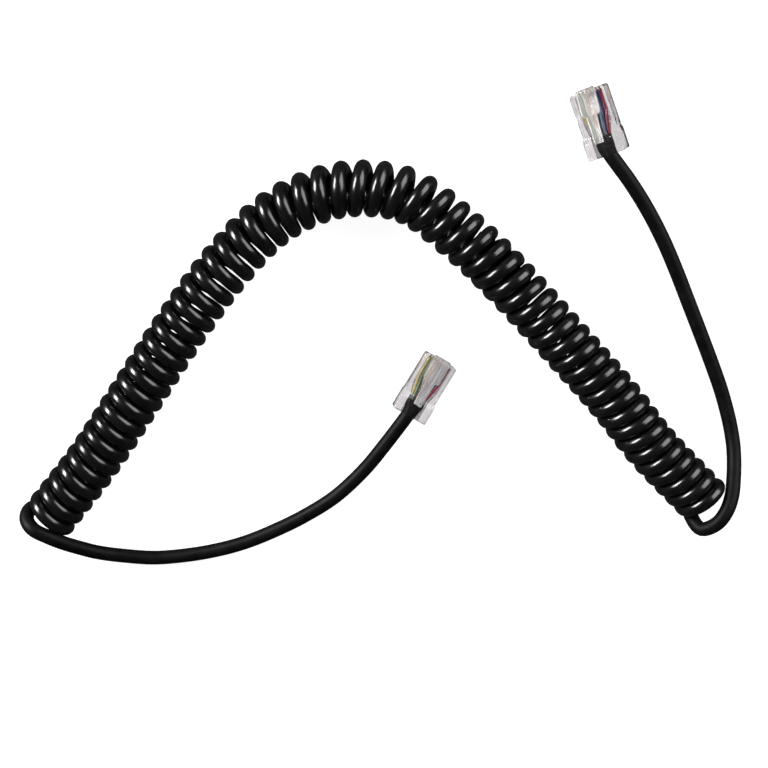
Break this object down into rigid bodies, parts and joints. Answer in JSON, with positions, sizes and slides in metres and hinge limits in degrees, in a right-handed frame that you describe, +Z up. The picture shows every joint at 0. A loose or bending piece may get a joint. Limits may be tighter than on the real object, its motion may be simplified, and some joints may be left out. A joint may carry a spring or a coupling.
{
  "type": "coiled microphone lead",
  "caption": "Black coiled microphone lead lying in an arch, with a clear 8-way modular plug and sprung latch on each end.",
  "frame": {"origin": "on the surface that the lead lies on, under the middle of the two plugs", "axes": "+Z up from the surface; +Y along the table from plug B towards plug A and the top of the arch; +X to the right, from the coil's left foot to its right foot"},
  "size_m": [0.2432, 0.1618, 0.0184],
  "materials": {
    "jacket_black": "glossy soft PVC, smooth moulded skin",
    "clear_polycarbonate": "clear polished polycarbonate",
    "contact_gold": "gold-plated phosphor bronze, satin",
    "wire_red": "semi-gloss wire insulation",
    "wire_blue": "semi-gloss wire insulation",
    "wire_grey_blue": "semi-gloss wire insulation",
    "wire_black": "semi-gloss wire insulation",
    "wire_brown": "semi-gloss wire insulation",
    "wire_white": "semi-gloss wire insulation",
    "wire_green": "semi-gloss wire insulation",
    "wire_yellow": "semi-gloss wire insulation"
  },
  "bodies": {
    "lead": {"plug_a_body": "clear_polycarbonate", "plug_a_jacket_clamp": "clear_polycarbonate", "plug_a_wire_clamp": "clear_polycarbonate", "plug_a_contact_1": "contact_gold", "plug_a_wire_1": "wire_red", "plug_a_contact_2": "contact_gold", "plug_a_wire_2": "wire_blue", "plug_a_contact_3": "contact_gold", "plug_a_wire_3": "wire_grey_blue", "plug_a_contact_4": "contact_gold", "plug_a_wire_4": "wire_black", "plug_a_contact_5": "contact_gold", "plug_a_wire_5": "wire_brown", "plug_a_contact_6": "contact_gold", "plug_a_wire_6": "wire_white", "plug_a_contact_7": "contact_gold", "plug_a_wire_7": "wire_green", "plug_a_contact_8": "contact_gold", "plug_a_wire_8": "wire_yellow", "plug_b_body": "clear_polycarbonate", "plug_b_jacket_clamp": "clear_polycarbonate", "plug_b_wire_clamp": "clear_polycarbonate", "plug_b_contact_1": "contact_gold", "plug_b_wire_1": "wire_red", "plug_b_contact_2": "contact_gold", "plug_b_wire_2": "wire_blue", "plug_b_contact_3": "contact_gold", "plug_b_wire_3": "wire_grey_blue", "plug_b_contact_4": "contact_gold", "plug_b_wire_4": "wire_black", "plug_b_contact_5": "contact_gold", "plug_b_wire_5": "wire_brown", "plug_b_contact_6": "contact_gold", "plug_b_wire_6": "wire_white", "plug_b_contact_7": "contact_gold", "plug_b_wire_7": "wire_green", "plug_b_contact_8": "contact_gold", "plug_b_wire_8": "wire_yellow", "tail_a": "jacket_black", "coil": "jacket_black", "tail_b": "jacket_black"},
    "latch_a": {"plug_a_latch": "clear_polycarbonate"},
    "latch_b": {"plug_b_latch": "clear_polycarbonate"}
  },
  "joints": [
    {"name": "latch_a_press", "type": "hinge", "parent": "lead", "child": "latch_a", "pos_m": [0.02246, 0.05313, 0.00896], "axis": [0.8529, 0.3274, 0.4067], "range_deg": [0, 8], "stiffness_Nm_per_rad": 0.2},
    {"name": "latch_b_press", "type": "hinge", "parent": "lead", "child": "latch_b", "pos_m": [-0.02164, -0.03358, 0.00703], "axis": [0.8572, -0.515, 0], "range_deg": [0, 8], "stiffness_Nm_per_rad": 0.2}
  ]
}
